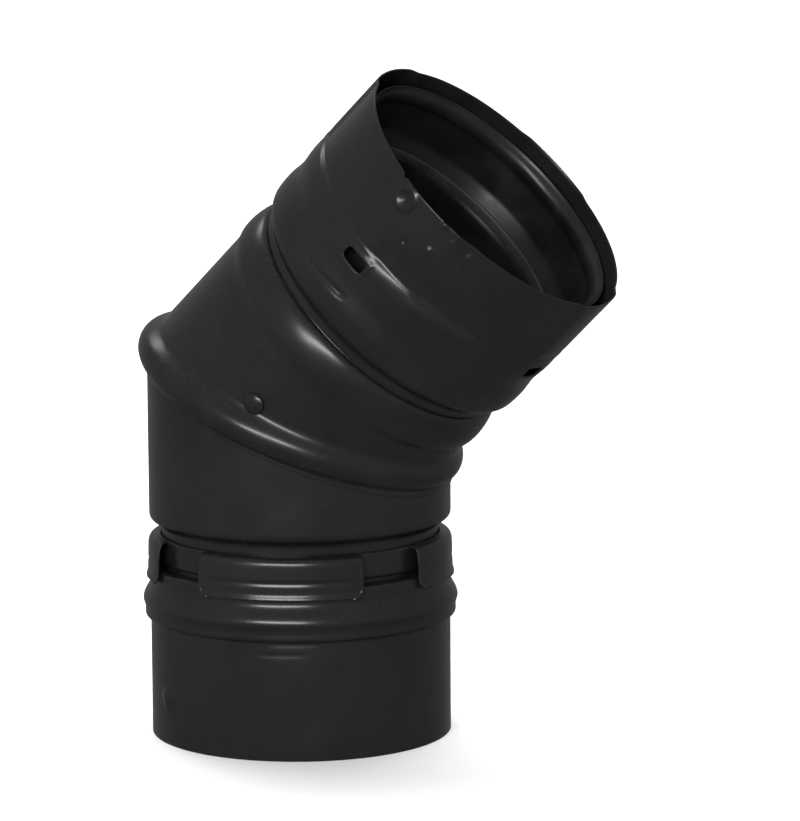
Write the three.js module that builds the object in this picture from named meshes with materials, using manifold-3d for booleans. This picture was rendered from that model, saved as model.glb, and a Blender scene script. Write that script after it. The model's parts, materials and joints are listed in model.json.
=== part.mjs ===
// Twin-wall flue elbow: two gores joined at 45 degrees, a twist-lock mouth at the top and a
// swivelling twist-lock end at the bottom. Millimetres, +Z up. The object stands on its lower
// rim, the bend lies in the XZ plane and the mouth leans towards +X.
import * as THREE from 'three';
import { mergeVertices } from 'three/addons/utils/BufferGeometryUtils.js';
import Module from 'manifold-3d';

const wasm = await Module();
wasm.setup();

// ---------------------------------------------------------------- driving dimensions
const bend = THREE.MathUtils.degToRad(45);     // between the two legs
const mitre = bend / 2;                        // tilt of the joint between the gores
const lowerLeg = 99.5;                         // lower rim to mitre centre, along the axis
const upperLeg = 91.5;                         // mitre centre to mouth rim, along the axis
const gap = 0.3;                               // kept between pieces that touch
const aroundCollar = 48;                       // facets round a pressed collar
const aroundTube = 36;                         // facets round a plain tube

// Radii are outer radii. Heights are along the leg: from the lower rim on the lower leg, and
// from the mitre centre on the upper leg.
const casing = { radius: 44.5, wall: 0.5, neck: 40.9, neckBottom: 46.4, neckTop: 61.5,
    shoulderLow: 64, shoulderHigh: 63, shoulderTop: 66, flange: 43.2 };
const liner = { radius: 38.5, wall: 0.4, socket: 39.2, socketBottom: 48, socketTop: 59, taper: 3,
    end: 56 };
const casingSeam = { height: 2.6, section: 5.5, heelGrowth: 0.3, divisions: 6 };
const linerSeam = { height: 1.2, section: 3, heelGrowth: 0.2, divisions: 4 };
const ringBead = { bottom: 25, foot: 28, radius: 45.4, middle: 31, fall: 34, fallRadius: 44.2,
    top: 39.4 };
const upperNeck = { radius: 42, end: 47 };

const mouth = { neck: 42.8, neckBottom: 40, neckTop: 41.5, curveLow: 44, curveHigh: 43.5,
    bulge: 45.9, bulgeBottom: 47.5, bulgeTop: 67, skirt: 45, skirtBottom: 70, pad: 46 };
const pads = { count: 4, first: -87, half: 16.5, flank: 6 };              // degrees
const lockWindow = { turn: -8, depth: 6, width: 8, height: 3.8, below: 3.5 };
const bell = { bottom: 50, coneBottom: 63, coneTop: 71.5, radius: 43, lip: 87.5, bead: 1.3,
    beadHeight: 7 };
const bellSeal = { inner: 38.7, outer: 40.1, foot: 64.6, shoulder: 67.2, top: 67.8, land: 0.4 };

const skirt = { radius: 44.3, top: 35.5 };
const stopBead = { radius: 46.5, rise: 38, height: 41.8, fall: 44.5, top: 46.5 };
const band = { radius: 44.2, top: 50.5, corner: 1, lip: 41.4 };
const swivelSeal = { inner: 41.4, outer: 43.1, bottom: 47.2, top: 49.7 };
const hookTabs = { count: 4, first: -70.7, half: 32 };                    // degrees
const hookRing = { sleeve: 41.7, bottom: 52, top: 59.6, tab: 45.1, tabBottom: 47.2, foldStart: 53,
    foldEnd: 57, foldRadius: 43.5, bite: 0.2 };
const lugs = { count: 2, first: -124, height: 14, proud: 1, root: 0.3, half: 3.6 };
const spigot = { bottom: 1, lead: 4, leadIn: 0.4, end: 57 };

const radians = THREE.MathUtils.degToRad;
const point = (radius, height) => new THREE.Vector2(radius, height);

// ---------------------------------------------------------------- solids
function toSolid(geometry) {
    const bare = geometry.clone();
    bare.deleteAttribute('normal');
    bare.deleteAttribute('uv');
    const merged = mergeVertices(bare, 1e-4);
    return new wasm.Manifold(new wasm.Mesh({
        numProp: 3,
        vertProperties: new Float32Array(merged.attributes.position.array),
        triVerts: new Uint32Array(merged.index.array),
    }));
}

function toGeometry(solid) {
    const mesh = solid.getMesh();
    const geometry = new THREE.BufferGeometry();
    geometry.setAttribute('position', new THREE.BufferAttribute(mesh.vertProperties, 3));
    geometry.setIndex(new THREE.BufferAttribute(mesh.triVerts, 1));
    geometry.computeVertexNormals();
    return geometry;
}

const joined = (first, ...others) => toGeometry(
    others.reduce((solid, other) => solid.add(toSolid(other)), toSolid(first)));
const cutBy = (first, ...others) => toGeometry(
    others.reduce((solid, other) => solid.subtract(toSolid(other)), toSolid(first)));

// ---------------------------------------------------------------- sheet-metal walls
// The closed outline of a sheet whose outer face follows a path in (radius, height), drawn
// upwards, with the wall laid on its inner side.
function sheetOutline(path, wall, divisions) {
    const face = path.getPoints(divisions);
    const last = face.length - 1;
    const normalAfter = (index) => {
        const along = face[index + 1].clone().sub(face[index]).normalize();
        return point(-along.y, along.x);
    };
    const back = face.map((corner, index) => {
        const before = normalAfter(Math.max(index - 1, 0));
        const after = normalAfter(Math.min(index, last - 1));
        const inward = before.clone().add(after).normalize();
        return corner.clone().addScaledVector(inward, wall / inward.dot(before));
    });
    return [...face, ...back.reverse(), face[0].clone()];
}

// A closed outline in (radius, height), revolved about +Z.
const revolved = (outline, around = aroundTube) =>
    new THREE.LatheGeometry(outline, around).rotateX(Math.PI / 2);

const sheet = (path, wall, divisions = 3, around = aroundTube) =>
    revolved(sheetOutline(path, wall, divisions), around);

const ringOf = (inner, outer, bottom, top, around = aroundTube) => revolved([
    point(inner, bottom), point(outer, bottom), point(outer, top), point(inner, top),
    point(inner, bottom),
], around);

const cylinderOf = (radius, bottom, top, around = aroundTube) => revolved([
    point(0, bottom), point(radius, bottom), point(radius, top), point(0, top),
], around);

// 1 inside each of a number of equal sectors, 0 between them, with a straight flank.
const sectors = ({ count, first, half, flank }) => (azimuth) => {
    const pitch = 360 / count;
    const turned = THREE.MathUtils.radToDeg(azimuth) - first;
    const fromCentre = Math.abs(turned - pitch * Math.round(turned / pitch));
    return THREE.MathUtils.clamp((half + flank / 2 - fromCentre) / flank, 0, 1);
};

// A revolved sheet pressed between two outlines: where share(azimuth) is 1 the wall follows the
// pressed path, where it is 0 the plain one, and between the two it is blended.
function pressedSheet(plainPath, pressedPath, wall, share) {
    const geometry = sheet(plainPath, wall, 3, aroundCollar);
    const pressed = sheet(pressedPath, wall, 3, aroundCollar).attributes.position;
    const position = geometry.attributes.position;
    const from = new THREE.Vector3();
    const to = new THREE.Vector3();
    for (let index = 0; index < position.count; index += 1) {
        from.fromBufferAttribute(position, index);
        to.fromBufferAttribute(pressed, index);
        from.lerp(to, share(Math.atan2(from.y, from.x)));
        position.setXYZ(index, from.x, from.y, from.z);
    }
    return geometry;
}

// ---------------------------------------------------------------- the mitre
// Shears one end of a tube into the mitre plane: up to `straight` nothing moves, and from there
// to `end` each ring tilts further. `side` is +1 where the plane rises towards +X.
function mitred(geometry, straight, end, side, clearance = gap / 2) {
    const position = geometry.attributes.position;
    const lift = (Math.sign(straight - end) * clearance) / Math.cos(mitre);
    for (let index = 0; index < position.count; index += 1) {
        const height = position.getZ(index);
        const share = THREE.MathUtils.clamp((height - straight) / (end - straight), 0, 1);
        const tilt = side * Math.tan(mitre) * position.getX(index);
        position.setZ(index, height + share * (tilt + lift));
    }
    return geometry;
}

// The rolled seam between two gores, in the mitre frame: a hollow bead of oval section, stretched
// to the ellipse in which the tubes meet and fuller at the heel than at the throat. It belongs to
// the upper gore and closes over a flange that belongs to the lower gore.
function seamRing(radius, { height, section, heelGrowth, divisions }, shrink) {
    const centre = radius + height - section;
    const outline = new THREE.Path();
    outline.absarc(centre, 0, section - shrink, 0, 2 * Math.PI);
    const ring = revolved(outline.getPoints(divisions));
    const position = ring.attributes.position;
    for (let index = 0; index < position.count; index += 1) {
        const x = position.getX(index);
        position.setX(index, x / Math.cos(mitre));
        position.setZ(index, position.getZ(index) * (1 - (heelGrowth * x) / radius));
    }
    return ring;
}

function seamFlange(radius, wall, { height }) {
    const outer = radius + height - wall - 2 * gap;
    const flange = ringOf(radius - wall, outer, -wall - gap / 2, -gap / 2);
    return flange.scale(1 / Math.cos(mitre), 1, 1);
}

// The upper gore's bead, in the upper leg's frame: the hollow ring, cut back to clear the lower
// gore and to leave the inside of the upper gore open. The two cutting cores overlap a little.
function seamBead(radius, wall, seam) {
    const overlap = -0.1;
    const length = 60;
    const plain = 40;
    const lowerCore = mitred(cylinderOf(radius + gap, -length, 0), -plain, 0, -1, overlap);
    const upperCore = mitred(cylinderOf(radius - wall / 2, 0, length), plain, 0, 1, overlap);
    const tube = cutBy(seamRing(radius, seam, 0), seamRing(radius, seam, wall)).rotateY(-mitre);
    return cutBy(tube, lowerCore.rotateY(-bend), upperCore);
}

// ---------------------------------------------------------------- casing
function casingLowerGore() {
    const path = new THREE.Path();
    path.moveTo(casing.flange, casing.neckBottom + casing.wall);
    path.lineTo(casing.neck, casing.neckBottom + casing.wall);
    path.lineTo(casing.neck, casing.neckTop);
    path.bezierCurveTo(casing.neck, casing.shoulderLow, casing.radius, casing.shoulderHigh,
        casing.radius, casing.shoulderTop);
    path.lineTo(casing.radius, lowerLeg);
    const wall = mitred(sheet(path, casing.wall), casing.shoulderTop, lowerLeg, -1);
    const flange = seamFlange(casing.radius, casing.wall, casingSeam);
    return joined(wall, flange.rotateY(mitre).translate(0, 0, lowerLeg));
}

function casingUpperGore() {
    const path = new THREE.Path();
    path.moveTo(casing.radius, 0);
    path.lineTo(casing.radius, ringBead.bottom);
    path.bezierCurveTo(casing.radius, ringBead.foot, ringBead.radius, ringBead.foot,
        ringBead.radius, ringBead.middle);
    path.bezierCurveTo(ringBead.radius, ringBead.fall, ringBead.fallRadius, ringBead.top,
        upperNeck.radius, ringBead.top);
    path.lineTo(upperNeck.radius, upperNeck.end);
    const wall = mitred(sheet(path, casing.wall), ringBead.bottom, 0, 1);
    return joined(wall, seamBead(casing.radius, casing.wall, casingSeam));
}

// ---------------------------------------------------------------- twist-lock mouth
function mouthPath(rimRadius) {
    const path = new THREE.Path();
    path.moveTo(mouth.neck, mouth.neckBottom);
    path.lineTo(mouth.neck, mouth.neckTop);
    path.bezierCurveTo(mouth.neck, mouth.curveLow, mouth.bulge, mouth.curveHigh,
        mouth.bulge, mouth.bulgeBottom);
    path.lineTo(mouth.bulge, mouth.bulgeTop);
    path.quadraticCurveTo(mouth.bulge, mouth.skirtBottom - 1, rimRadius, mouth.skirtBottom);
    path.lineTo(rimRadius, upperLeg);
    return path;
}

// Four entry channels are pressed outwards in the skirt, and each leads into the bulge behind it.
// A stop window is cut in the bulge beside each channel.
function mouthCollar() {
    const plain = mouthPath(mouth.skirt);
    const collar = pressedSheet(plain, mouthPath(mouth.pad), casing.wall, sectors(pads));
    const windows = Array.from({ length: pads.count }, (_, index) => {
        const azimuth = radians(pads.first + lockWindow.turn + (360 / pads.count) * index);
        const opening = new THREE.BoxGeometry(lockWindow.depth, lockWindow.width, lockWindow.height);
        opening.translate(mouth.bulge, 0, mouth.bulgeTop - lockWindow.below);
        return opening.rotateZ(azimuth);
    });
    return cutBy(collar, ...windows);
}

// ---------------------------------------------------------------- swivelling end
// A plain skirt, a stop bead and a band that turns inwards over the neck's flange.
function swivelCollar() {
    const path = new THREE.Path();
    path.moveTo(skirt.radius, 0);
    path.lineTo(skirt.radius, skirt.top);
    path.bezierCurveTo(skirt.radius, stopBead.rise, stopBead.radius, stopBead.rise,
        stopBead.radius, stopBead.height);
    path.bezierCurveTo(stopBead.radius, stopBead.fall, band.radius, stopBead.fall,
        band.radius, stopBead.top);
    path.lineTo(band.radius, band.top - band.corner);
    path.quadraticCurveTo(band.radius, band.top, band.radius - band.corner, band.top);
    path.lineTo(band.lip, band.top);
    const bore = cylinderOf(skirt.radius - casing.wall / 2, -1, skirt.top, aroundCollar);
    const studs = Array.from({ length: lugs.count }, (_, index) => {
        const lug = new THREE.SphereGeometry(1, 10, 6);
        lug.scale(lugs.proud + lugs.root, lugs.half, lugs.half);
        lug.translate(skirt.radius - lugs.root, 0, lugs.height);
        return cutBy(lug.rotateZ(radians(lugs.first + (360 / lugs.count) * index)), bore);
    });
    return joined(sheet(path, casing.wall, 3, aroundCollar), ...studs);
}

// The crimped ring on the neck: a sleeve whose upper edge is folded out and down over the band
// of the swivelling collar, as four tabs with gaps between them.
function hookRingGeometry() {
    const sleevePath = new THREE.Path();
    sleevePath.moveTo(hookRing.sleeve, hookRing.bottom);
    sleevePath.lineTo(hookRing.sleeve, hookRing.top);
    const sleeve = sheet(sleevePath, casing.wall, 1, aroundCollar);
    const fold = new THREE.Path();
    fold.moveTo(hookRing.tab, hookRing.tabBottom);
    fold.lineTo(hookRing.tab, hookRing.foldStart);
    fold.bezierCurveTo(hookRing.tab, hookRing.foldEnd, hookRing.foldRadius, hookRing.top,
        hookRing.sleeve - hookRing.bite, hookRing.top);
    const folded = toSolid(sheet(fold, casing.wall, 4, aroundCollar));
    const reach = 60;
    const bottom = 40;
    const depth = 30;
    const half = radians(hookTabs.half);
    const wedges = Array.from({ length: hookTabs.count }, (_, index) => {
        const wedge = new THREE.Shape([point(0, 0), point(reach, -reach * Math.tan(half)),
            point(reach, reach * Math.tan(half))]);
        const prism = new THREE.ExtrudeGeometry(wedge, { depth, bevelEnabled: false });
        const azimuth = radians(hookTabs.first + (360 / hookTabs.count) * index);
        return prism.translate(0, 0, bottom).rotateZ(azimuth);
    });
    const tabs = wedges.map((wedge) => folded.intersect(toSolid(wedge)));
    return toGeometry(tabs.reduce((solid, tab) => solid.add(tab), toSolid(sleeve)));
}

// ---------------------------------------------------------------- liner
function linerLowerGore() {
    const path = new THREE.Path();
    path.moveTo(liner.socket, liner.socketBottom);
    path.lineTo(liner.socket, liner.socketTop);
    path.lineTo(liner.radius, liner.socketTop + liner.taper);
    path.lineTo(liner.radius, lowerLeg);
    const wall = mitred(sheet(path, liner.wall), liner.socketTop + liner.taper, lowerLeg, -1);
    const flange = seamFlange(liner.radius, liner.wall, linerSeam);
    return joined(wall, flange.rotateY(mitre).translate(0, 0, lowerLeg));
}

function linerUpperGore() {
    const path = new THREE.Path();
    path.moveTo(liner.radius, 0);
    path.lineTo(liner.radius, ringBead.bottom);
    path.lineTo(liner.radius, liner.end);
    const wall = mitred(sheet(path, liner.wall), ringBead.bottom, 0, 1);
    return joined(wall, seamBead(liner.radius, liner.wall, linerSeam));
}

// The liner's flared end in the mouth, with a bead rolled inwards below its lip.
function linerBell() {
    const path = new THREE.Path();
    path.moveTo(liner.socket, bell.bottom);
    path.lineTo(liner.socket, bell.coneBottom);
    path.lineTo(bell.radius, bell.coneTop);
    path.lineTo(bell.radius, bell.lip - bell.beadHeight);
    path.quadraticCurveTo(bell.radius - 2 * bell.bead, bell.lip - bell.beadHeight / 2,
        bell.radius, bell.lip);
    return sheet(path, liner.wall, 4);
}

function bellGasket() {
    const { inner, outer, foot, shoulder, top, land } = bellSeal;
    return revolved([point(inner, foot), point(inner + land, foot), point(outer, shoulder),
        point(inner + land, top), point(inner, foot)]);
}

function linerSpigot() {
    const path = new THREE.Path();
    path.moveTo(liner.radius - spigot.leadIn, spigot.bottom);
    path.lineTo(liner.radius, spigot.lead);
    path.lineTo(liner.radius, spigot.end);
    return sheet(path, liner.wall);
}

// ---------------------------------------------------------------- spacers and rivets
// A bent clip that holds two walls apart: two feet beside the inner wall and a crown beside the
// outer one. It points along +X and is `length` long in Z.
const clip = { leaf: 0.5, rise: 1.6, foot: 6, crown: 2 };

function spacerClip(inner, outer, length) {
    const { leaf, rise, foot, crown } = clip;
    const outline = new THREE.Shape([
        point(inner, -foot), point(inner, -crown - rise), point(outer - leaf, -crown),
        point(outer - leaf, crown), point(inner, crown + rise), point(inner, foot),
        point(inner + leaf, foot), point(inner + leaf, crown + rise + leaf),
        point(outer, crown + leaf), point(outer, -crown - leaf),
        point(inner + leaf, -crown - rise - leaf), point(inner + leaf, -foot),
    ]);
    return new THREE.ExtrudeGeometry(outline, { depth: length, bevelEnabled: false });
}

// A domed rivet along +X, its shank through the wall and a small upset tail behind.
const rivet = { head: 3, dome: 1.3, shank: 1.5, tail: 2.1, tailHeight: 0.9, grip: 1.4, facets: 12 };

function rivetGeometry() {
    const outline = new THREE.Path();
    outline.moveTo(0, -rivet.grip - rivet.tailHeight);
    outline.lineTo(rivet.tail, -rivet.grip - rivet.tailHeight);
    outline.lineTo(rivet.tail, -rivet.grip);
    outline.lineTo(rivet.shank, -rivet.grip);
    outline.lineTo(rivet.shank, 0);
    outline.lineTo(rivet.head, 0);
    outline.quadraticCurveTo(rivet.head, rivet.dome, 0, rivet.dome);
    return revolved(outline.getPoints(2), rivet.facets).rotateY(Math.PI / 2);
}

// Rivets beside the mitre seam, as [height along the upper leg, azimuth in degrees].
const seamRivets = { front: [9.8, -86], back: [9.8, 86] };

const placedRivet = ([height, azimuth], geometry) =>
    geometry.translate(casing.radius + gap, 0, height).rotateZ(radians(azimuth));

// ---------------------------------------------------------------- finishes
const finish = (color, roughness, metalness) =>
    new THREE.MeshStandardMaterial({ color, roughness, metalness });
const blackPaint = finish(0x242528, 0.42, 0.2);
const blackSteel = finish(0x1b1c1e, 0.5, 0.6);
const springSteel = finish(0x8a8d90, 0.35, 0.9);
const blackSilicone = finish(0x1b1b1d, 0.6, 0);
const fibreRope = finish(0x9a958a, 0.9, 0);

// ---------------------------------------------------------------- assembly
const elbow = new THREE.Group();
const swivelEnd = new THREE.Group();
const lowerLegGroup = new THREE.Group();
const upperLegGroup = new THREE.Group();
upperLegGroup.position.z = lowerLeg;
upperLegGroup.rotation.y = bend;
elbow.add(swivelEnd, lowerLegGroup, upperLegGroup);

function place(group, name, geometry, material) {
    const mesh = new THREE.Mesh(geometry, material);
    mesh.name = name;
    group.add(mesh);
    return mesh;
}

const rivetHole = () => cylinderOf(rivet.shank + gap, -2 * rivet.grip, rivet.grip, rivet.facets)
    .rotateY(Math.PI / 2);
const upperGore = cutBy(casingUpperGore(),
    ...Object.values(seamRivets).map((site) => placedRivet(site, rivetHole())));

place(swivelEnd, 'swivel_collar', swivelCollar(), blackPaint);
place(swivelEnd, 'swivel_gasket',
    ringOf(swivelSeal.inner, swivelSeal.outer, swivelSeal.bottom, swivelSeal.top), fibreRope);
place(swivelEnd, 'liner_spigot', linerSpigot(), blackSteel);
place(lowerLegGroup, 'hook_ring', hookRingGeometry(), blackPaint);
place(lowerLegGroup, 'casing_lower_gore', casingLowerGore(), blackPaint);
place(lowerLegGroup, 'liner_lower_gore', linerLowerGore(), blackSteel);
place(upperLegGroup, 'casing_upper_gore', upperGore, blackPaint);
place(upperLegGroup, 'liner_upper_gore', linerUpperGore(), blackSteel);
place(upperLegGroup, 'mouth_collar', mouthCollar(), blackPaint);
place(upperLegGroup, 'liner_bell', linerBell(), blackSteel);
place(upperLegGroup, 'bell_gasket', bellGasket(), blackSilicone);

for (const [side, site] of Object.entries(seamRivets)) {
    place(upperLegGroup, `seam_rivet_${side}`, placedRivet(site, rivetGeometry()), blackPaint);
}

const clipRings = [
    { group: swivelEnd, name: 'spigot_spacer', inner: 38.8, outer: 42.8, height: 33, length: 5 },
    { group: lowerLegGroup, name: 'lower_spacer', inner: 38.8, outer: 43.3, height: 69, length: 6 },
    { group: upperLegGroup, name: 'upper_spacer', inner: 38.8, outer: 43.3, height: 26, length: 6 },
];
for (const { group, name, inner, outer, height, length } of clipRings) {
    for (const [index, azimuth] of [30, 150, 270].entries()) {
        const clipMesh = place(group, `${name}_${index + 1}`, spacerClip(inner, outer, length),
            springSteel);
        clipMesh.position.z = height;
        clipMesh.rotation.z = radians(azimuth);
    }
}

// The origin is under the middle of the object's box, on the plane that it stands on.
const box = new THREE.Box3().setFromObject(elbow, true);
elbow.position.x = -(box.min.x + box.max.x) / 2;

export default elbow;
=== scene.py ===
"""A black twin-wall flue elbow on a pale studio floor.

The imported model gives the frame: its bodies, the axes of the two legs and the place of every
node. Each sheet-metal piece is worked out here as a fine surface and stands for its node. Sizes
are in millimetres along and around a leg's own axis, and become metres when a mesh is made.
"""
import json
import logging
import math
from contextlib import contextmanager
from dataclasses import dataclass
from enum import Enum
from typing import Callable, Iterable, Iterator, Optional, Sequence

import bmesh
import bpy
import numpy as np
from mathutils import Matrix, Vector


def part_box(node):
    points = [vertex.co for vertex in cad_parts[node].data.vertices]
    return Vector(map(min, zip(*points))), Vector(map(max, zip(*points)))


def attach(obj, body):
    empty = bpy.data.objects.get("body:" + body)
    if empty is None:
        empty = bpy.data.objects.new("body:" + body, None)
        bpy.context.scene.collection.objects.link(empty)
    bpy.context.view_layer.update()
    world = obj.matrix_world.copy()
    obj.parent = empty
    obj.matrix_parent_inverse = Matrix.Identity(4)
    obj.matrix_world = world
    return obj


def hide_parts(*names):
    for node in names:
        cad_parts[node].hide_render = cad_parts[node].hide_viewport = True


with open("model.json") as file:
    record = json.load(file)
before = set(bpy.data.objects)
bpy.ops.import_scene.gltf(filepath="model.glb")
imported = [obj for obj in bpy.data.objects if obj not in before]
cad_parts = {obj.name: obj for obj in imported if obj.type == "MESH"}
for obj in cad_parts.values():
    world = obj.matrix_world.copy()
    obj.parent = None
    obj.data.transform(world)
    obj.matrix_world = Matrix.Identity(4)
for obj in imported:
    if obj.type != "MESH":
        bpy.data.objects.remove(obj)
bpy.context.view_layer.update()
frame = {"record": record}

LOG = logging.getLogger("flue_elbow")
MM = 0.001
Array = np.ndarray
Pressing = Callable[[Array, Array], Array]
Shaping = Callable[[Array, Array, Array], tuple[Array, Array]]


# ------------------------------------------------------------------ shapes of one variable
def turned(angle: Array) -> Array:
    """Angle in radians, brought between minus and plus half a turn."""
    return (angle + np.pi) % (2 * np.pi) - np.pi


def swell(distance: Array, half: float) -> Array:
    """A round swell: 1 at distance 0, falling as a cosine to 0 at `half` and beyond."""
    return 0.5 + 0.5 * np.cos(np.pi * np.clip(np.abs(distance) / half, 0, 1))


def step(value: Array, low: float, high: float) -> Array:
    """0 up to `low`, 1 from `high` on, and a smooth cubic between the two."""
    share = np.clip((value - low) / (high - low), 0, 1)
    return share * share * (3 - 2 * share)


def plateau(distance: Array, half: float, flank: float) -> Array:
    """1 within `half` of 0, falling smoothly to 0 over the next `flank`."""
    return 1 - step(np.abs(distance), half, half + flank)


def smooth_lower(first: Array, second: Array, blend: float) -> Array:
    """The lower of two fields, rounded off where they are within `blend` of each other."""
    share = np.maximum(blend - np.abs(first - second), 0) / blend
    return np.minimum(first, second) - share * share * blend / 4


@dataclass(frozen=True)
class Spot:
    """A place on a leg's wall: an azimuth in degrees and a height in millimetres."""

    azimuth: float
    height: float

    def around(self, azimuth: Array, radius: float) -> Array:
        """Distance round the wall from this place, in millimetres along the circle."""
        return turned(azimuth - math.radians(self.azimuth)) * radius

    def distance(self, azimuth: Array, height: Array, radius: float) -> Array:
        """Straight distance over the wall from this place, in millimetres."""
        return np.hypot(self.around(azimuth, radius), height - self.height)


@dataclass(frozen=True)
class Dimple:
    """A round swell of a wall at one spot, pressed inwards where its depth is below 0."""

    spot: Spot
    depth: float
    half: float

    def shift(self, azimuth: Array, height: Array, radius: float) -> Array:
        """How far the wall is moved out at each place."""
        return self.depth * swell(self.spot.distance(azimuth, height, radius), self.half)


@dataclass(frozen=True)
class Lap:
    """The lapped ends of a rolled sheet, held by a row of spot welds.

    Attributes:
        azimuth: Azimuth of the outer end's edge, in degrees.
        radius: Radius of the sheet.
        welds: Height of each spot weld.
        proud: How far the edge stands out.
        weld_turn: How far the welds lie past the edge, in degrees.
        weld_depth: Depth of a weld's dent.
        weld_half: Radius of a weld's dent.
    """

    azimuth: float
    radius: float
    welds: tuple[float, ...]
    proud: float = 0.28
    weld_turn: float = 5.0
    weld_depth: float = 0.22
    weld_half: float = 1.7

    def rise(self, azimuth: Array) -> Array:
        """A step that starts sharply at the edge and dies away over a fifth of a turn."""
        across = turned(azimuth - math.radians(self.azimuth))
        return self.proud * step(across, 0.0, 0.008) * (1 - step(across, 0.1, 1.2))

    def dents(self, azimuth: Array, height: Array) -> Array:
        """How far the welds move the wall, below 0 where they dent it."""
        welds = (Dimple(Spot(self.azimuth + self.weld_turn, weld), -self.weld_depth,
                        self.weld_half) for weld in self.welds)
        return sum(weld.shift(azimuth, height, self.radius) for weld in welds)


def equal_turns(first: float, count: int = 4) -> tuple[float, ...]:
    """Azimuths in degrees of `count` equal places round a leg, from `first` on."""
    return tuple(first + 360 / count * index for index in range(count))


# ------------------------------------------------------------------ legs
@dataclass(frozen=True)
class Leg:
    """A straight leg: heights run along it and azimuths turn from its throat side.

    Attributes:
        origin: Where height 0 is, in millimetres in the shared frame.
        tilt: How far the leg leans towards +X, in radians.
    """

    origin: tuple[float, float, float]
    tilt: float

    def place(self, radius: Array, azimuth: Array, height: Array) -> Array:
        """Turns radius, azimuth and height into points in the shared frame, in metres.

        The leg's own x is radius times the cosine of the azimuth and y is radius times its sine.
        Both x and the height are then turned about +Y by the tilt and moved to the origin.
        """
        across = radius * np.cos(azimuth)
        cosine, sine = math.cos(self.tilt), math.sin(self.tilt)
        x = self.origin[0] + across * cosine + height * sine
        y = self.origin[1] + radius * np.sin(azimuth)
        z = self.origin[2] - across * sine + height * cosine
        return np.stack(np.broadcast_arrays(x, y, z), axis=-1) * MM


@dataclass(frozen=True)
class Bend:
    """The two legs and the plane in which they meet.

    Attributes:
        lower: The upright leg, its height 0 at the lower rim.
        upper: The leaning leg, its height 0 at the middle of the mitre.
        mitre_height: Height of the middle of the mitre on the lower leg.
    """

    lower: Leg
    upper: Leg
    mitre_height: float

    @property
    def half(self) -> float:
        """Half of the bend, which is how far the mitre plane tilts against either leg."""
        return self.upper.tilt / 2

    @classmethod
    def from_frame(cls, upper_length: float) -> "Bend":
        """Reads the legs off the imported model.

        The lower leg's axis is the middle of the swivelling collar. The mouth's rim plane is
        `upper_length` past the mitre along the axis of the mount on it, which gives the height
        of the mitre.
        """
        low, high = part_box("swivel_collar")
        across = (low.x + high.x) / 2 / MM
        mouth = next(m for m in frame["record"]["mounts"] if m["name"] == "mouth_rim")
        axis, place = Vector(mouth["axis"]), Vector(mouth["pos_m"]) / MM
        tilt = math.atan2(axis.x, axis.z)
        along = place.dot(axis) - upper_length - across * math.sin(tilt)
        height = along / math.cos(tilt)
        lower = Leg((across, 0.0, low.z / MM), 0.0)
        return cls(lower, Leg((across, 0.0, height), tilt), height - low.z / MM)


# ------------------------------------------------------------------ outlines
class Outline:
    """A path in (radius, height), drawn upwards in lines and cubic curves, evenly sampled."""

    def __init__(self, radius: float, height: float, spacing: float = 0.6) -> None:
        """Starts the path at one point, with at most `spacing` between its samples."""
        self._runs = [np.array([[radius, height]], float)]
        self._spacing = spacing

    def _add(self, controls: Array) -> "Outline":
        """Adds one curve by its control points: the Bernstein sum of the four of them."""
        length = np.linalg.norm(np.diff(controls, axis=0), axis=1).sum()
        count = max(int(math.ceil(length / self._spacing)), 1)
        along = np.linspace(0, 1, count + 1)[1:, None]
        weights = ((1 - along) ** 3, 3 * along * (1 - along) ** 2,
                   3 * along ** 2 * (1 - along), along ** 3)
        self._runs.append(sum(weight * point for weight, point in zip(weights, controls)))
        return self

    def line(self, radius: float, height: float) -> "Outline":
        """Adds a straight run to (radius, height)."""
        start, end = self._runs[-1][-1], np.array([radius, height], float)
        return self._add(np.array([start, start + (end - start) / 3, end - (end - start) / 3, end]))

    def curve(self, *controls: tuple[float, float]) -> "Outline":
        """Adds a cubic curve by its two handles and its end."""
        return self._add(np.array([self._runs[-1][-1], *controls], float))

    def points(self) -> Array:
        """The samples, one row of (radius, height) for each."""
        return np.concatenate(self._runs)


def closed_sheet(face: Array, wall: float, edge: float = 0.2, inner_stride: int = 2) -> Array:
    """The closed outline of a sheet whose outer face is `face`.

    The inner face lies `wall` along the inward normal, which is the path's direction turned a
    quarter to the left. Each cut edge is a half ellipse `edge` deep, set back so that the sheet
    ends where the face did.

    Args:
        face: Samples of the outer face in (radius, height), from bottom to top.
        wall: Thickness of the sheet.
        edge: Depth of the rounding at each cut edge.
        inner_stride: Keeps one in this many samples on the inner face.

    Returns:
        Samples of the whole outline, outer face first.
    """
    along = np.gradient(face, axis=0)
    along /= np.linalg.norm(along, axis=1, keepdims=True)
    inward = np.stack([-along[:, 1], along[:, 0]], axis=1)
    face = face.copy()
    face[0] += along[0] * edge
    face[-1] -= along[-1] * edge
    back = face + inward * wall
    turn = np.linspace(0, np.pi, 5)[1:-1, None]

    def rounded(index: int, outward: Array) -> Array:
        """The half ellipse from the outer to the inner face at one end."""
        middle = face[index] + inward[index] * wall / 2
        return middle - inward[index] * np.cos(turn) * wall / 2 + outward * np.sin(turn) * edge

    top, bottom = rounded(-1, along[-1]), rounded(0, -along[0])
    inner = back[::-1]
    kept = np.unique(np.append(np.arange(0, len(inner), inner_stride), len(inner) - 1))
    return np.concatenate([face, top, inner[kept], bottom[::-1]])


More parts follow.
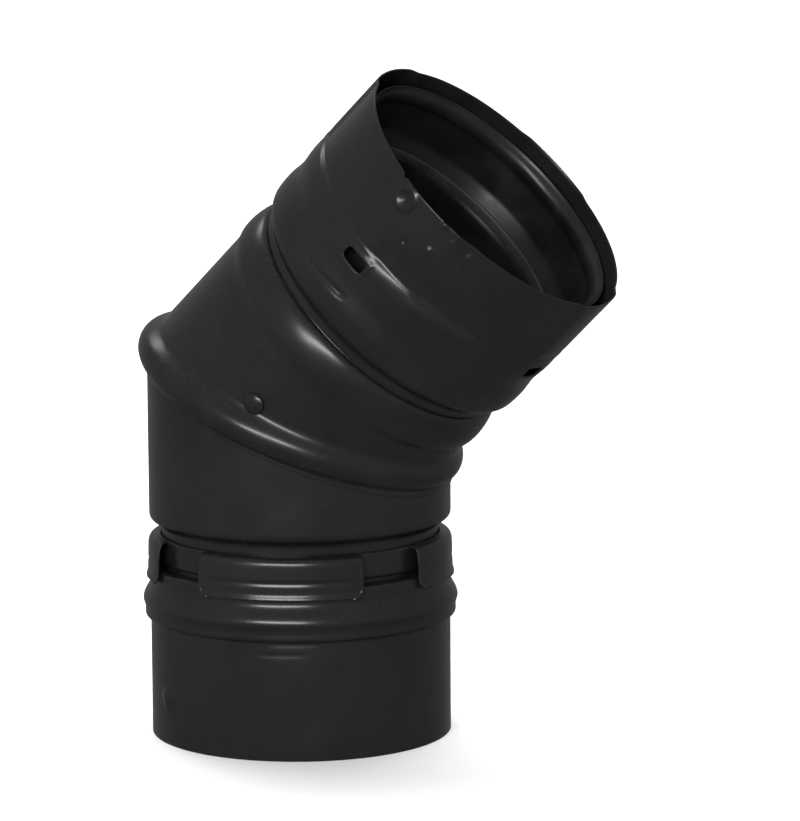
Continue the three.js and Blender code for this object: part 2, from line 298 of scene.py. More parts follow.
def crowded_azimuths(count: int, centres: Sequence[float] = (), half: float = 35,
                     gain: float = 1.6) -> Array:
    """Azimuths all round a leg, closer together near `centres`.

    Their density is 1 plus `gain` times a bell curve about each centre. They are the places at
    which the running sum of that density passes equal shares of the whole.

    Args:
        count: How many azimuths.
        centres: Azimuths in degrees with fine detail.
        half: Width of each bell curve in degrees.
        gain: How much denser the samples are there.
    """
    fine = np.linspace(-np.pi, np.pi, 3601)
    density = np.ones_like(fine)
    for centre in centres:
        density += gain * np.exp(-(turned(fine - math.radians(centre)) / math.radians(half)) ** 2)
    total = np.concatenate([[0], np.cumsum((density[1:] + density[:-1]) / 2)])
    return np.interp(np.linspace(0, total[-1], count, endpoint=False), total, fine)


# Azimuths in degrees about which the samples are closer: the front of the lower and of the
# upper leg, and the inside that the mouth shows.
LOWER_FRONT, UPPER_FRONT, SEEN_INSIDE = -70.0, -85.0, 100.0


# ------------------------------------------------------------------ meshes
@dataclass
class Grid:
    """A surface as a grid of points, rows by columns, closed or open in either direction.

    Rows run along the outline and columns round the leg, so faces point away from the axis
    where the outline is drawn upwards.
    """

    points: Array
    close_rows: bool = True
    close_columns: bool = True

    def faces(self) -> Array:
        """Four corner numbers for each cell of the grid."""
        rows, columns = self.points.shape[:2]
        number = np.arange(rows * columns).reshape(rows, columns)
        if self.close_rows:
            number = np.concatenate([number, number[:1]], axis=0)
        if self.close_columns:
            number = np.concatenate([number, number[:, :1]], axis=1)
        return np.stack([number[:-1, :-1], number[:-1, 1:], number[1:, 1:], number[1:, :-1]],
                        axis=-1).reshape(-1, 4)


def mesh_of(name: str, grids: Sequence[Grid], smooth: bool = True) -> bpy.types.Object:
    """Makes one object from one or more grids, with its place in its mesh.

    Args:
        name: Name of the object and of its mesh.
        grids: The surfaces, in metres in the shared frame.
        smooth: Shades the faces as one smooth surface.

    Returns:
        The new object, at the origin and linked to the scene.
    """
    points = np.concatenate([grid.points.reshape(-1, 3) for grid in grids])
    starts = np.cumsum([0] + [grid.points.shape[0] * grid.points.shape[1] for grid in grids])
    faces = np.concatenate([grid.faces() + start for grid, start in zip(grids, starts)])
    mesh = bpy.data.meshes.new(name)
    mesh.vertices.add(len(points))
    mesh.vertices.foreach_set("co", points.astype(np.float32).ravel())
    mesh.loops.add(faces.size)
    mesh.loops.foreach_set("vertex_index", faces.astype(np.int32).ravel())
    mesh.polygons.add(len(faces))
    mesh.polygons.foreach_set("loop_start", np.arange(0, faces.size, 4, dtype=np.int32))
    mesh.update(calc_edges=True)
    mesh.polygons.foreach_set("use_smooth", np.full(len(faces), smooth))
    mesh.validate()
    piece = bpy.data.objects.new(name, mesh)
    bpy.context.scene.collection.objects.link(piece)
    return piece


def revolved(leg: Leg, outline: Array, azimuths: Array, pressing: Optional[Pressing] = None,
             shaping: Optional[Shaping] = None) -> Grid:
    """Carries an outline round a leg.

    The radius at each place is the outline's radius plus the pressing at that azimuth and
    height. The shaping then moves the place, for a mitre or a wobble.
    """
    radius = np.repeat(outline[:, :1], len(azimuths), axis=1)
    height = np.repeat(outline[:, 1:], len(azimuths), axis=1)
    turn = np.repeat(azimuths[None, :], len(outline), axis=0)
    if pressing is not None:
        radius = radius + pressing(turn, height)
    if shaping is not None:
        radius, height = shaping(turn, radius, height)
    return Grid(leg.place(radius, turn, height))


def sheet(name: str, leg: Leg, path: Outline, wall: float, azimuths: Array,
          pressing: Optional[Pressing] = None,
          shaping: Optional[Shaping] = None) -> bpy.types.Object:
    """A piece of sheet: a path with a wall behind it, carried round a leg."""
    outline = closed_sheet(path.points(), wall)
    return mesh_of(name, [revolved(leg, outline, azimuths, pressing, shaping)])


@contextmanager
def editing(piece: bpy.types.Object) -> Iterator[bmesh.types.BMesh]:
    """Opens a piece's mesh for edits, and then makes its faces point out and stores it."""
    form = bmesh.new()
    form.from_mesh(piece.data)
    form.verts.ensure_lookup_table()
    yield form
    bmesh.ops.recalc_face_normals(form, faces=form.faces)
    form.to_mesh(piece.data)
    form.free()


def cut_through(piece: bpy.types.Object, cutters: Iterable[bpy.types.Object]) -> None:
    """Takes each cutter's volume out of a piece for good, and deletes the cutter."""
    for cutter in cutters:
        modifier = piece.modifiers.new("cut", "BOOLEAN")
        modifier.operation, modifier.solver, modifier.object = "DIFFERENCE", "EXACT", cutter
        graph = bpy.context.evaluated_depsgraph_get()
        mesh = bpy.data.meshes.new_from_object(piece.evaluated_get(graph))
        piece.modifiers.clear()
        old, piece.data = piece.data, mesh
        mesh.name = old.name
        bpy.data.meshes.remove(old)
        bpy.data.objects.remove(cutter, do_unlink=True)


def thickened(piece: bpy.types.Object, wall: float) -> bpy.types.Object:
    """Gives an open surface a wall on its inner side."""
    solid = piece.modifiers.new("wall", "SOLIDIFY")
    solid.thickness, solid.offset, solid.use_even_offset = wall * MM, -1, True
    return piece


BODY_OF = {node: body for body, nodes in frame["record"]["behaviour"]["bodies"].items()
           for node in nodes}


class Slot(str, Enum):
    """The record's material slots."""

    PAINT = "black_paint"
    LINER = "black_liner"
    SPRING = "spring_steel"
    SILICONE = "silicone"
    ROPE = "rope_seal"


def stand_for(piece: bpy.types.Object, node: str,
              material: bpy.types.Material) -> bpy.types.Object:
    """Makes a piece stand for a node: it rides on that node's body and wears the slot's finish."""
    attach(piece, BODY_OF[node])
    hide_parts(node)
    piece.data.materials.clear()
    piece.data.materials.append(material)
    LOG.info("%s: %d faces", piece.name, len(piece.data.polygons))
    return piece


# ------------------------------------------------------------------ shader node groups
class Nodes:
    """A short way to add and join shader nodes in one tree."""

    def __init__(self, tree: bpy.types.NodeTree) -> None:
        """Works on `tree`."""
        self.tree = tree

    def add(self, kind: str, inputs: Optional[dict] = None, **settings) -> bpy.types.Node:
        """Adds a node, sets its properties and then its inputs.

        Args:
            kind: The node's type name.
            inputs: Values or output sockets by input name or number.
            **settings: Properties of the node.

        Returns:
            The new node.
        """
        node = self.tree.nodes.new(kind)
        for name, value in settings.items():
            setattr(node, name, value)
        for name, value in (inputs or {}).items():
            if isinstance(value, bpy.types.NodeSocket):
                self.tree.links.new(value, node.inputs[name])
            else:
                node.inputs[name].default_value = value
        return node

    def math(self, operation: str, first, second=0.0) -> bpy.types.NodeSocket:
        """The output of a Math node."""
        return self.add("ShaderNodeMath", {0: first, 1: second}, operation=operation).outputs[0]

    def span(self, value, low: float, high: float, to_low: float,
             to_high: float) -> bpy.types.NodeSocket:
        """The output of a Map Range node, clamped and smooth at both ends."""
        return self.add("ShaderNodeMapRange", {"Value": value, "From Min": low, "From Max": high,
                        "To Min": to_low, "To Max": to_high},
                        interpolation_type="SMOOTHSTEP").outputs[0]

    def noise(self, place, size, **inputs: float) -> bpy.types.NodeSocket:
        """The output of a noise texture whose features are `size` millimetres across."""
        scale = self.math("DIVIDE", 1000.0, size)
        return self.add("ShaderNodeTexNoise",
                        {"Vector": place, "Scale": scale, **inputs}).outputs["Fac"]


def new_effect(name: str, size: str, default: float, output: str) -> tuple[
        Nodes, bpy.types.NodeSocket, bpy.types.NodeSocket, bpy.types.NodeSocket]:
    """Starts a node group that takes a place and a size in millimetres and gives one value.

    Args:
        name: The group's name.
        size: Name of the size input.
        default: Default of the size input.
        output: Name of the output.

    Returns:
        Its nodes, the sockets of the place and the size, and the socket of the result.
    """
    tree = bpy.data.node_groups.new(name, "ShaderNodeTree")
    for label, way, kind in (("Vector", "INPUT", "NodeSocketVector"),
                             (size, "INPUT", "NodeSocketFloat"),
                             (output, "OUTPUT", "NodeSocketFloat")):
        socket = tree.interface.new_socket(label, in_out=way, socket_type=kind)
        if label == size:
            socket.default_value = default
    nodes = Nodes(tree)
    given, result = nodes.add("NodeGroupInput"), nodes.add("NodeGroupOutput")
    return nodes, given.outputs["Vector"], given.outputs[size], result.inputs[output]


class Effects:
    """The effects that several finishes share, each a node group built once."""

    def __init__(self) -> None:
        """Builds the groups."""
        self.grain = self._grain()
        self.marks = self._marks()
        self.dust = self._dust()

    @staticmethod
    def _grain() -> bpy.types.NodeTree:
        """Height of a sprayed or rolled surface: fine noise, half of it three times coarser."""
        nodes, place, pitch, result = new_effect("surface_grain", "Pitch", 0.6, "Height")
        fine = nodes.noise(place, pitch, Detail=2.0)
        coarse = nodes.noise(place, nodes.math("MULTIPLY", pitch, 3.1), Detail=1.0)
        nodes.tree.links.new(nodes.math("MULTIPLY", nodes.math("ADD", fine, coarse), 0.5), result)
        return nodes.tree

    @staticmethod
    def _marks() -> bpy.types.NodeTree:
        """Handling marks: broad cloudy smears, 0 to 1."""
        nodes, place, size, result = new_effect("handling_marks", "Smear Size", 22.0, "Smears")
        cloud = nodes.noise(place, size, Detail=4.0, Roughness=0.55, Distortion=0.4)
        nodes.tree.links.new(nodes.span(cloud, 0.35, 0.68, 0.0, 1.0), result)
        return nodes.tree

    @staticmethod
    def _dust() -> bpy.types.NodeTree:
        """Settled dust: more where a face looks up, broken up by a speckled noise, 0 to 1."""
        nodes, place, size, result = new_effect("settled_dust", "Speck Size", 1.2, "Mask")
        geometry = nodes.add("ShaderNodeNewGeometry")
        up = nodes.add("ShaderNodeSeparateXYZ", {0: geometry.outputs["Normal"]}).outputs["Z"]
        specks = nodes.noise(place, size, Detail=3.0, Roughness=0.7)
        broken = nodes.span(specks, 0.42, 0.7, 0.15, 1.0)
        settled = nodes.span(up, -0.1, 1.0, 0.0, 1.0)
        nodes.tree.links.new(nodes.math("MULTIPLY", settled, broken), result)
        return nodes.tree


# ------------------------------------------------------------------ finishes
@dataclass(frozen=True)
class Finish:
    """How one kind of surface looks.

    Attributes:
        name: The material's name.
        colour: Its own colour, linear.
        smeared: Its colour where it has been handled.
        dusty: The colour of the dust on it.
        dust: How much dust lies on faces that look up, 0 to 1.
        metallic: 1 for bare metal.
        specular: Specular level, 0.5 for a plain paint.
        roughness: Roughness in the clean and in the smeared places.
        grain: Pitch of the surface grain in millimetres.
        relief: Height of the grain in millimetres.
        smear_size: Size of the smears in millimetres.
    """

    name: str
    colour: tuple[float, float, float]
    smeared: tuple[float, float, float]
    dusty: tuple[float, float, float] = (0.12, 0.115, 0.105)
    dust: float = 0.05
    metallic: float = 0.0
    specular: float = 0.5
    roughness: tuple[float, float] = (0.4, 0.5)
    grain: float = 0.6
    relief: float = 0.004
    smear_size: float = 22.0

    def material(self, effects: Effects) -> bpy.types.Material:
        """Builds the material from the shared effects."""
        material = bpy.data.materials.new(self.name)
        material.use_nodes = True
        material.node_tree.nodes.clear()
        nodes = Nodes(material.node_tree)
        place = nodes.add("ShaderNodeTexCoord").outputs["Object"]
        marks = nodes.add("ShaderNodeGroup", node_tree=effects.marks)
        grain = nodes.add("ShaderNodeGroup", node_tree=effects.grain)
        dust = nodes.add("ShaderNodeGroup", node_tree=effects.dust)
        for effect in (marks, grain, dust):
            nodes.tree.links.new(place, effect.inputs["Vector"])
        marks.inputs["Smear Size"].default_value = self.smear_size
        grain.inputs["Pitch"].default_value = self.grain
        colour = nodes.add("ShaderNodeMix", {"Factor": marks.outputs["Smears"],
                           "A": (*self.colour, 1), "B": (*self.smeared, 1)}, data_type="RGBA")
        amount = nodes.math("MULTIPLY", dust.outputs["Mask"], self.dust)
        dusted = nodes.add("ShaderNodeMix", {"Factor": amount, "A": colour.outputs["Result"],
                           "B": (*self.dusty, 1)}, data_type="RGBA")
        worn = nodes.span(marks.outputs["Smears"], 0.0, 1.0, *self.roughness)
        bump = nodes.add("ShaderNodeBump", {"Height": grain.outputs["Height"],
                         "Distance": self.relief * MM})
        shader = nodes.add("ShaderNodeBsdfPrincipled", {"Base Color": dusted.outputs["Result"],
                           "Roughness": worn, "Normal": bump.outputs["Normal"],
                           "Metallic": self.metallic, "Specular IOR Level": self.specular})
        nodes.add("ShaderNodeOutputMaterial", {"Surface": shader.outputs["BSDF"]})
        return material


STOVE_PAINT = Finish("satin_stove_paint", (0.0050, 0.0050, 0.0054), (0.0064, 0.0063, 0.0066),
                     specular=0.22, roughness=(0.25, 0.3), grain=0.55, relief=0.0015)
BLUED_LINER = Finish("blackened_liner", (0.0045, 0.0045, 0.0048), (0.0075, 0.0073, 0.007),
                     specular=0.2, roughness=(0.32, 0.44), grain=0.35, relief=0.003, dust=0.03,
                     smear_size=14.0)
BARE_SPRING = Finish("bare_spring_steel", (0.42, 0.43, 0.45), (0.34, 0.34, 0.35), metallic=1.0,
                     roughness=(0.26, 0.4), grain=0.3, relief=0.002, smear_size=5.0)
RING_RUBBER = Finish("black_silicone", (0.012, 0.012, 0.013), (0.02, 0.02, 0.021), specular=0.4,
                     roughness=(0.5, 0.62), grain=0.5, relief=0.004, smear_size=8.0)
GLASS_ROPE = Finish("glass_fibre_rope", (0.3, 0.28, 0.24), (0.2, 0.185, 0.16), specular=0.2,
                    roughness=(0.8, 0.9), grain=0.25, relief=0.03, smear_size=3.0)


# ------------------------------------------------------------------ the swivelling end
# Curves of the stop bead from the skirt up to the band, each as two handles and an end in
# (radius past the bead's, height). They make two close ridges with a shallow dip between them.
STOP_BEAD = (
    ((-2.2, 35.0), (-1.7, 35.0), (-0.9, 35.5)),
    ((-0.6, 35.8), (-0.5, 36.2), (-0.62, 37.0)),
    ((-0.65, 38.0), (-0.5, 38.6), (-0.25, 39.4)),
    ((0.0, 39.9), (0.1, 40.6), (-0.25, 41.6)),
    ((-0.8, 43.2), (-2.3, 44.7), (-2.3, 46.5)),
)


@dataclass
class SwivelEnd:
    """The lower twist-lock end, which turns about the neck of the lower gore."""

    leg: Leg
    wall: float = 0.5
    skirt: float = 44.3
    skirt_top: float = 35.5
    bead: float = 46.5
    band: float = 44.2
    band_top: float = 50.5
    fold: float = 1.1
    lip: float = 41.4
    lugs: tuple[Dimple, ...] = tuple(Dimple(Spot(azimuth, 14.0), 1.0, 4.4)
                                     for azimuth in equal_turns(-124.0, 2))
    lap: Lap = Lap(104.0, 44.3, (7.0, 15.5, 24.0, 32.0))
    grooves: tuple[Spot, ...] = (Spot(-64.5, 34.3), Spot(-69.5, 31.2))
    groove_depth: float = 0.14
    groove_length: float = 4.5
    spigot: float = 38.5
    spigot_top: float = 57.0
    spigot_wall: float = 0.4

    def _pressing(self, azimuth: Array, height: Array) -> Array:
        """Lock lugs pushed out, the lap of the sheet's ends and two faint grooves."""
        on_skirt = 1 - step(height, self.skirt_top - 1, self.skirt_top + 2)
        shift = self.lap.rise(azimuth) * on_skirt + self.lap.dents(azimuth, height)
        for lug in self.lugs:
            shift += lug.shift(azimuth, height, self.skirt)
        for groove in self.grooves:
            along = plateau(groove.around(azimuth, self.skirt), self.groove_length,
                            self.groove_length)
            shift -= self.groove_depth * swell(height - groove.height, 1.1) * along
        return shift

    def collar(self) -> bpy.types.Object:
        """The skirt, its stop bead and the band that turns in over the neck's flange."""
        path = Outline(self.skirt, 0, spacing=0.5).line(self.skirt, self.skirt_top - 0.8)
        for curve in STOP_BEAD:
            path.curve(*((self.bead + out, height) for out, height in curve))
        path.line(self.band, self.band_top - self.fold)
        path.curve((self.band, self.band_top - 0.3), (self.band - 0.4, self.band_top),
                   (self.band - self.fold, self.band_top))
        path.line(self.lip, self.band_top)
        return sheet("swivel_collar_sheet", self.leg, path, self.wall,
                     crowded_azimuths(400, (LOWER_FRONT, self.lap.azimuth)), self._pressing)

    def inner_tube(self) -> bpy.types.Object:
        """The liner's plain male end, tapered in a little at its edge."""
        path = (Outline(self.spigot - 0.4, 1, spacing=1.2).line(self.spigot, 4)
                .line(self.spigot, self.spigot_top))
        return sheet("liner_spigot_tube", self.leg, path, self.spigot_wall,
                     crowded_azimuths(180))


@dataclass
class RopeSeal:
    """The rope seal between the swivelling band and the neck's flange."""

    leg: Leg
    inner: float = 41.4
    outer: float = 43.1
    bottom: float = 47.2
    top: float = 49.7
    strands: int = 5
    waves: int = 70
    groove: float = 0.1

    def build(self) -> bpy.types.Object:
        """A flattened ring whose surface is twisted into strands.

        Its section is a super-ellipse of power 4. The section's size swells by a cosine with one
        wave for each strand, and the cosine shifts by `waves` waves on the way round the leg.
        """
        azimuths = crowded_azimuths(720)[None, :]
        turn = np.linspace(0, 2 * np.pi, 28, endpoint=False)[:, None]
        twist = 0.5 + 0.5 * np.cos(self.strands * turn + self.waves * azimuths)
        square = (np.abs(np.cos(turn)) ** 4 + np.abs(np.sin(turn)) ** 4) ** -0.25
        size = square * (1 - self.groove * twist) / 2
        radius = (self.inner + self.outer) / 2 + (self.outer - self.inner) * size * np.cos(turn)
        height = (self.bottom + self.top) / 2 + (self.top - self.bottom) * size * np.sin(turn)
        azimuth = np.repeat(azimuths, len(turn), axis=0)
        return mesh_of("swivel_rope_seal", [Grid(self.leg.place(radius, azimuth, height))])


# ------------------------------------------------------------------ the lower gore
@dataclass
class HookRing:
    """The crimped ring on the neck, whose folded tabs hold the swivelling collar."""

    leg: Leg
    wall: float = 0.5
    sleeve: float = 41.7
    sleeve_bottom: float = 52.0
    top: float = 59.6
    tab: float = 45.1
    tab_bottom: float = 47.2
    tabs: tuple[float, ...] = equal_turns(-70.7)
    half: float = 32.0
    corner: float = 3.0
    crease_height: float = 52.2
    crease_depth: float = 0.22
    flare: float = 0.4

    def _tab(self, middle: float) -> Grid:
        """One folded tab as a single surface.

        Its path runs up from the free edge, over the fold and down to the sleeve's top. The half
        width shrinks by a quarter circle near the free edge, which rounds both corners. A shallow
        crease runs along the outer face, and the free edge and both ends flare out a little.
        """
        path = (Outline(self.tab, self.tab_bottom, spacing=0.4)
                .line(self.tab - 0.25, self.top - 3)
                .curve((self.tab - 0.3, self.top - 1), (self.tab - 0.9, self.top),
                       (self.sleeve - 0.2, self.top))).points()
        height, radius = path[:, 1:], path[:, :1]
        short = np.clip((self.tab_bottom + self.corner - height) / self.corner, 0, 1)
        inset = self.corner * (1 - np.sqrt(1 - short ** 2)) / self.tab
        across = np.linspace(-1, 1, 121)[None, :]
        azimuth = math.radians(middle) + across * (math.radians(self.half) - inset)
        end = 1 - np.abs(across)
        crease = swell(height - self.crease_height, 1.1) * step(end, 0.02, 0.25)
        bent_end = (1 - step(end, 0.0, 0.035)) * (1 - step(height, 54, 58))
        edge = swell(height - self.tab_bottom, 2.0)
        radius = radius - self.crease_depth * crease + self.flare * (edge + bent_end)
        return Grid(self.leg.place(radius, azimuth, np.broadcast_to(height, azimuth.shape)),
                    close_rows=False, close_columns=False)

    def build(self) -> bpy.types.Object:
        """The sleeve and its tabs."""
        path = Outline(self.sleeve, self.sleeve_bottom, spacing=1.0).line(self.sleeve, self.top)
        sleeve = revolved(self.leg, path.points(), crowded_azimuths(240))
        sleeve.close_rows = False
        piece = mesh_of("hook_ring_tabs", [sleeve, *(self._tab(middle) for middle in self.tabs)])
        return thickened(piece, self.wall)


# The search for a gore's face: shares of the tube's radius to look between, and how often the
# interval is halved.
SEARCH_SHARES, HALVINGS = (0.6, 1.5), 28


@dataclass(frozen=True)
class Seam:
    """The rolled seam between two gores.

    Attributes:
        radius: Outer radius of the tubes.
        wall: Thickness of the sheet.
        height: How far the bead stands out.
        section: Half size of the bead's section.
        growth: How much prouder the bead is at the throat than halfway round.
        blend: Size of the fillet between the bead and the upper tube.
        half: Tilt of the seam's plane against either leg, in radians.
        sink: How far the bead lies below the seam's plane.
        lean: How much further it lies below it at the throat than halfway round.
        hem: How far the hem on the lower tube stands out.
        hem_blend: Size of the fillet between the bead and the hem.
    """

    radius: float
    wall: float
    height: float
    section: float
    growth: float
    blend: float
    half: float
    sink: float = 0.0
    lean: float = 0.0
    hem: float = 0.5
    hem_blend: float = 0.25

    def field(self, azimuth: Array, radius: Array, height: Array) -> Array:
        """Signed distance to the upper gore's outer face, in the upper leg's axes.

        It is the smooth union of the upper tube above the mitre plane, the bead, which is a ring
        of round section stretched to the mitre's ellipse, and a close hem on the lower tube.
        """
        x, y = radius * np.cos(azimuth), radius * np.sin(azimuth)
        rise = height * math.cos(self.half) - x * math.sin(self.half)
        across = (x * math.cos(self.half) + height * math.sin(self.half)) * math.cos(self.half)
        centre = self.radius + self.height - self.section + self.growth * across / self.radius
        above = rise + self.sink + self.lean * across / self.radius
        bead = np.hypot(np.hypot(across, y) - centre, above) - self.section
        upper = np.maximum(radius - self.radius, -rise)
        bend = 2 * self.half
        lower_x = x * math.cos(bend) + height * math.sin(bend)
        hem = np.maximum(np.hypot(lower_x, y) - self.radius - self.hem, rise)
        return smooth_lower(smooth_lower(upper, bead, self.blend), hem, self.hem_blend)

    def face(self, azimuths: Array, rows: Array, straight: float,
             inset: float) -> tuple[Array, Array]:
        """Where the field equals minus `inset` on each row, found by halving intervals.

        A row lies in a plane of its own, which is square to the leg at height `straight` and
        tilts evenly into the seam's plane below that.

        Args:
            azimuths: Azimuths round the upper leg.
            rows: Height of each row on the leg's axis.
            straight: Height from which on the rows are square to the leg.
            inset: Depth below the outer face.

        Returns:
            Radii and heights, one row for each of the rows.
        """
        turn = np.repeat(azimuths[None, :], len(rows), axis=0)
        share = np.clip((straight - rows) / straight, 0, 1)[:, None]
        droop = share * (self.sink + self.lean * np.cos(turn)) / math.cos(self.half)
        slope = share * math.tan(self.half) * np.cos(turn)
        low, high = (np.full(turn.shape, self.radius * part) for part in SEARCH_SHARES)
        for _ in range(HALVINGS):
            middle = (low + high) / 2
            outside = self.field(turn, middle, rows[:, None] - droop + slope * middle) > -inset
            high = np.where(outside, middle, high)
            low = np.where(outside, low, middle)
        radius = (low + high) / 2
        return radius, rows[:, None] - droop + slope * radius

    def upper_gore(self, name: str, leg: Leg, azimuths: Array, rows: tuple[Array, Array],
                   top: Array, straight: float,
                   pressing: Optional[Pressing] = None) -> bpy.types.Object:
        """An upper gore as one closed sheet, with the seam's bead at its lower end.

        Args:
            name: Name of the object.
            leg: The upper leg.
            azimuths: Azimuths round it.
            rows: Heights of the rows on the outer face, upwards, and on the inner one, downwards.
            top: The rest of the outline above the rows, in (radius, height).
            straight: Height from which on the rows are square to the leg.
            pressing: What is pressed into the sheet.
        """
        outer = self.face(azimuths, rows[0], straight, 0.0)
        inner = self.face(azimuths, rows[1], straight, self.wall)
        radius, height = (np.concatenate([
            outer[part], np.broadcast_to(top[:, part, None], (len(top), len(azimuths))),
            inner[part]]) for part in (0, 1))
        turn = np.repeat(azimuths[None, :], len(radius), axis=0)
        if pressing is not None:
            radius = radius + pressing(turn, height)
        return mesh_of(name, [Grid(leg.place(radius, turn, height))])

    def mitred(self, start: float, end: float) -> Shaping:
        """A shaping that tilts the rings of a lower gore step by step into the mitre plane.

        Args:
            start: Height up to which the rings stay square to the leg.
            end: Height of the mitre on the leg's axis.
        """
        def shaping(azimuth: Array, radius: Array, height: Array) -> tuple[Array, Array]:
            """Lowers each ring at the throat and raises it at the back."""
            share = np.clip((height - start) / (end - start), 0, 1)
            return radius, height - share * math.tan(self.half) * self.radius * np.cos(azimuth)

        return shaping


@dataclass
class LowerGore:
    """The upright tube: its turned-out neck flange, shoulder, body and mitred end."""

    bend: Bend
    seam: Seam
    neck: float = 40.9
    neck_top: float = 61.5
    shoulder_top: float = 66.0
    flange: float = 43.2
    flange_height: float = 46.9
    lap: Lap = Lap(112.0, 44.5, (70.0, 78.5, 87.0))

    def _pressing(self, azimuth: Array, height: Array) -> Array:
        """The lap of the sheet's ends, and two low waves round it that the rolls have left."""
        body = step(height, self.shoulder_top - 2, self.shoulder_top)
        wave = 0.05 * np.sin(3 * azimuth + 0.6) + 0.04 * np.sin(7 * azimuth + 1.9)
        return (self.lap.rise(azimuth) + wave) * body + self.lap.dents(azimuth, height)

    def build(self) -> bpy.types.Object:
        """The whole gore, with the flange that the seam's bead closes over."""
        body, top, start = self.seam.radius, self.bend.mitre_height - 0.2, self.flange_height
        path = (Outline(self.flange, start)
                .curve((self.neck + 0.8, start), (self.neck, start + 0.1), (self.neck, start + 1.1))
                .line(self.neck, self.neck_top)
                .curve((self.neck, self.neck_top + 2.5), (body, self.shoulder_top - 3),
                       (body, self.shoulder_top))
                .line(body, top - 1).line(body + self.seam.height - 1.8, top))
        return sheet("casing_lower_gore_sheet", self.bend.lower, path, self.seam.wall,
                     crowded_azimuths(400, (LOWER_FRONT, self.lap.azimuth)), self._pressing,
                     self.seam.mitred(self.shoulder_top, self.bend.mitre_height))


# ------------------------------------------------------------------ the upper gore
@dataclass
class UpperGore:
    """The leaning tube: the seam's bead, the body, a ring bead and a neck in the mouth."""

    leg: Leg
    seam: Seam
    hem: float = -6.0
    fine_top: float = 9.0
    ring_bottom: float = 25.0
    ring: float = 45.4
    ring_middle: float = 31.0
    ring_top: float = 39.4
    neck: float = 42.0
    end: float = 47.0
    butt: float = -97.4
    butt_depth: float = 0.3
    butt_step: float = 0.14

    def _pressing(self, azimuth: Array, height: Array) -> Array:
        """The butt seam down the front and a small step beside it."""
        across = turned(azimuth - math.radians(self.butt)) * self.seam.radius
        along = step(height, 9, 13) * (1 - step(height, 26.5, 29))
        beside = step(across, 0, 0.5) * (1 - step(across, 4, 22))
        return (self.butt_step * beside - self.butt_depth * swell(across, 0.55)) * along

    def build(self) -> bpy.types.Object:
        """The whole gore as one closed sheet from the hem to the neck's end and back."""
        body = self.seam.radius
        rows = np.concatenate([np.arange(self.hem, self.fine_top, 0.35),
                               np.arange(self.fine_top, self.ring_bottom, 0.65)])
        path = (Outline(body, self.ring_bottom, spacing=0.5)
                .curve((body, self.ring_middle - 3), (self.ring, self.ring_middle - 3),
                       (self.ring, self.ring_middle))
                .curve((self.ring, self.ring_middle + 3), (self.neck + 2.2, self.ring_top),
                       (self.neck, self.ring_top))
                .line(self.neck, self.end)).points()
        # The seam's own rows take the place of the outline's first sample and its lower edge.
        top = closed_sheet(path, self.seam.wall)[1:-4]
        return self.seam.upper_gore(
            "casing_upper_gore_sheet", self.leg, crowded_azimuths(440, (UPPER_FRONT,)),
            (rows, rows[::-1][1::2]), top, self.ring_bottom, self._pressing)


# ------------------------------------------------------------------ the mouth
# The mouth band's low bead, waist and upper swell: middle height, half height and depth.
BAND_WAVES = ((50.0, 3.5, 0.12), (56.5, 5.5, -0.45), (63.5, 3.0, 0.1))
MOUTH_DIMPLES = (
    Dimple(Spot(-86.6, 78.7), -0.55, 1.2), Dimple(Spot(-78, 82), 0.5, 1.8),
    Dimple(Spot(-66, 88), 0.5, 1.8), Dimple(Spot(-72, 80), -0.4, 1.4),
    Dimple(Spot(-80, 90.8), 0.45, 1.6), Dimple(Spot(-74, 88.5), 0.35, 1.0),
)


